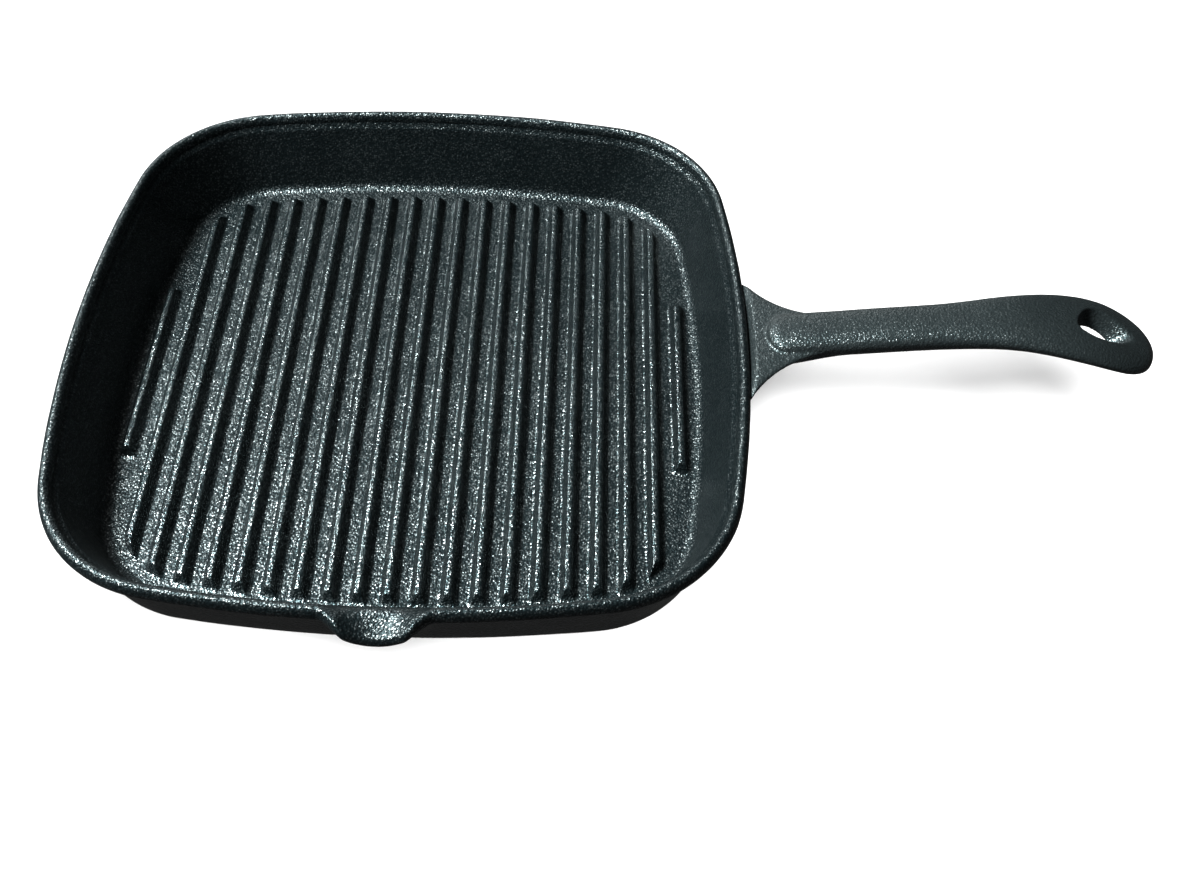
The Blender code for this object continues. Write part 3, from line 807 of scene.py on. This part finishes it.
# The pan's lights: name, azimuth and elevation in degrees, distance, size and power.
IRON_LIGHTS = (
    ("key_left", 180, 56, 1.5, (0.40, 0.40), 245.0),
    ("low_left", 180, 20, 1.6, (0.5, 0.4), 8.0),
    ("back_left", 135, 38, 1.6, (0.5, 0.5), 18.0),
    ("back_top", 85, 66, 1.6, (1.2, 0.7), 5.0),
    ("right_top", -15, 72, 1.6, (0.9, 0.9), 1.2),
    ("front_low", -80, 14, 1.6, (1.4, 0.6), 3.0),
    ("back_low", 100, 14, 1.6, (1.4, 0.6), 10.0),
)
PAPER_LIGHT = ("paper_light", -75, 62, 7.0, (7.6, 7.6), 1650.0)
# The light that the paper throws up, as a weak light just below the floor: distance, size and power.
PAPER_BOUNCE = (0.0215, (1.4, 1.2), 0.85)


def make_floor():
    bm = bmesh.new()
    corners = ((-1, -1), (1, -1), (1, 1), (-1, 1))
    bm.faces.new([bm.verts.new((x * FLOOR_HALF, y * FLOOR_HALF, -FLOOR_DROP)) for x, y in corners])
    floor = mesh_object("studio_floor", bm, paper("floor_paper", PAPER_COLOUR))
    floor.visible_glossy = False
    return floor


def add_light(name, direction, distance, size, power, receivers):
    """A soft box that faces the pan from a direction and lights only the receivers."""
    data = bpy.data.lights.new(name, "AREA")
    data.shape = "RECTANGLE"
    data.size, data.size_y = size
    data.energy = power
    light = bpy.data.objects.new(name, data)
    away = Vector(direction).normalized()
    light.location = PAN_MIDDLE + away * distance
    light.rotation_euler = away.to_track_quat("Z", "Y").to_euler()
    light.light_linking.receiver_collection = receivers
    bpy.context.scene.collection.objects.link(light)
    return light


def from_angles(azimuth, elevation):
    """The direction at these angles in degrees: azimuth 0 is +X and 90 is +Y."""
    level = math.cos(math.radians(elevation))
    return Vector((level * math.cos(math.radians(azimuth)), level * math.sin(math.radians(azimuth)),
                   math.sin(math.radians(elevation))))


def linked_collection(name, objects):
    """A collection that only tells lights which objects they light."""
    collection = bpy.data.collections.new(name)
    for obj in objects:
        collection.objects.link(obj)
    return collection


def make_lights(pieces, floor):
    """A key and a low light from the left, weaker light from behind and above, and low lights for the outer walls.

    The paper has its own light. The light that it throws up is stopped only by the iron.
    """
    iron_only = linked_collection("lit_iron", pieces)
    paper_only = linked_collection("lit_paper", [floor])
    for lights, receivers in ((IRON_LIGHTS, iron_only), ((PAPER_LIGHT,), paper_only)):
        for name, azimuth, elevation, distance, size, power in lights:
            add_light(name, from_angles(azimuth, elevation), distance, size, power, receivers)
    bounce = add_light("paper_bounce", Vector((0.0, 0.0, -1.0)), *PAPER_BOUNCE, iron_only)
    bounce.light_linking.blocker_collection = iron_only


def make_world():
    """Pale where the camera looks past the floor, and dim as a light."""
    world = bpy.data.worlds.new("studio")
    world.use_nodes = True
    nodes = Nodes(world)
    tree = world.node_tree
    tree.nodes.clear()
    seen, lighting = (nodes.add("ShaderNodeBackground", {"Color": colour, "Strength": strength})
                      for colour, strength in (BACKDROP, AMBIENT))
    path = nodes.add("ShaderNodeLightPath")
    mix = nodes.add("ShaderNodeMixShader", {"Fac": path.outputs["Is Camera Ray"]})
    tree.links.new(lighting.outputs[0], mix.inputs[1])
    tree.links.new(seen.outputs[0], mix.inputs[2])
    nodes.add("ShaderNodeOutputWorld", {"Surface": mix.outputs[0]})
    bpy.context.scene.world = world


def make_camera():
    """A level camera turned to its azimuth, tipped down and rolled a little."""
    data = bpy.data.cameras.new("camera")
    data.sensor_width = CAMERA_SENSOR
    data.lens = CAMERA_LENS
    data.clip_start = 0.01
    camera = bpy.data.objects.new("camera", data)
    level = Vector((math.cos(CAMERA_AZIMUTH), math.sin(CAMERA_AZIMUTH), 0.0))
    ahead = Vector((-math.sin(CAMERA_AZIMUTH) * math.cos(CAMERA_ELEVATION),
                    math.cos(CAMERA_AZIMUTH) * math.cos(CAMERA_ELEVATION), -math.sin(CAMERA_ELEVATION)))
    above = level.cross(ahead)
    right = level * math.cos(CAMERA_ROLL) + above * math.sin(CAMERA_ROLL)
    up = right.cross(ahead)
    turned = Matrix((right, up, -ahead)).transposed().to_4x4()
    camera.matrix_world = Matrix.Translation(CAMERA_PLACE) @ turned
    bpy.context.scene.collection.objects.link(camera)
    bpy.context.scene.camera = camera


# ---------------------------------------------------------------- the scene

def main():
    make_camera()
    floor = make_floor()
    make_world()
    bpy.context.scene.view_settings.view_transform = "Standard"
    bpy.context.scene.view_settings.gamma = TONE_GAMMA
    body_iron = iron("body_iron", BLACK_DARK, BLACK_LIGHT, roughness=0.37, grain_depth=0.00021, glint=1.25,
                     sheen=0.080)
    rib_iron = iron("rib_iron", BLACK_DARK, BLACK_LIGHT, roughness=0.27, grain_depth=0.00023, glint=3.2,
                    sheen=0.175)
    # The handle's base colours are painted paler: painted light, not a paler iron.
    handle_iron = iron("handle_iron", HANDLE_PAINTED_LIT_DARK, HANDLE_PAINTED_LIT_LIGHT, roughness=0.33, grain_depth=0.00019, glint=0.9,
                       sheen=0.078)
    pieces = [(make_pan_body(body_iron), "body", ("pan_body",))]
    pieces += [(make_rib(node, rib_iron), "ribs", (node,)) for node in RIB_NODES]
    pieces.append((make_handle(handle_iron), "handle", ("handle", "handle_cradle")))
    for piece, slot, nodes in pieces:
        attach(piece, "root")
        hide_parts(*nodes)
    make_lights([piece for piece, _, _ in pieces], floor)


main()
